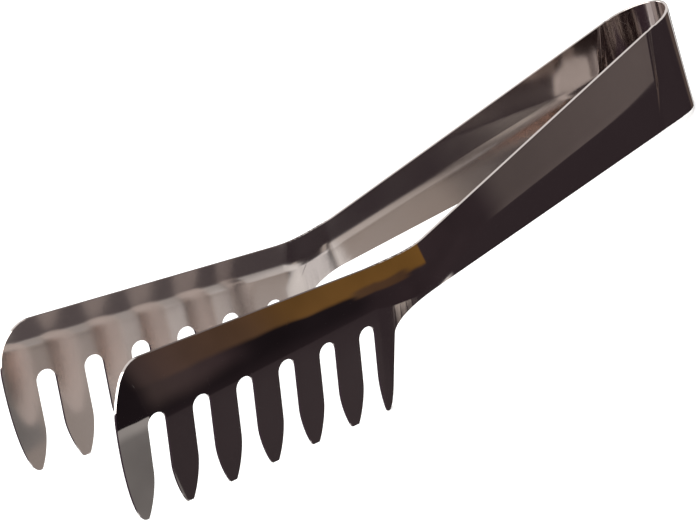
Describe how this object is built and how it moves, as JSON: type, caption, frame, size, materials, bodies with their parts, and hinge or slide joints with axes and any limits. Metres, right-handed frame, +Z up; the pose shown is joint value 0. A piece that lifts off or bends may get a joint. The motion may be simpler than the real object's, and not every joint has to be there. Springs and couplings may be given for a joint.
{
  "type": "spaghetti tongs",
  "caption": "Bent-strip steel tongs: a spring bow, two creased tapering arms and two angled comb heads whose long teeth grip and lift pasta.",
  "frame": {"origin": "centre of the footprint box, on the table that the tongs stand on", "axes": "+X from the comb heads to the bow, +Y across the tongs to the right arm, +Z up; the tongs stand on the tips of the last teeth and the bow's lower edge"},
  "size_m": [0.2026, 0.0522, 0.0579],
  "materials": {
    "polished_steel": "bright polished stainless sheet with fine wear scratches"
  },
  "bodies": {
    "bow": {"spring_bow": "polished_steel"},
    "left": {"left_arm": "polished_steel"},
    "right": {"right_arm": "polished_steel"}
  },
  "joints": [
    {"name": "left_arm_flex", "type": "hinge", "parent": "bow", "child": "left", "pos_m": [0.08804, -0.0089, 0.01515], "axis": [-0.0968, 0, -0.9953], "range_deg": [0, 6.9], "stiffness_Nm_per_rad": 5},
    {"name": "right_arm_flex", "type": "hinge", "parent": "bow", "child": "right", "pos_m": [0.08804, 0.0089, 0.01515], "axis": [0.0968, 0, 0.9953], "range_deg": [0, 6.9], "stiffness_Nm_per_rad": 5}
  ],
  "couplings": [
    {"joint": "right_arm_flex", "follows": "left_arm_flex", "ratio": 1}
  ]
}
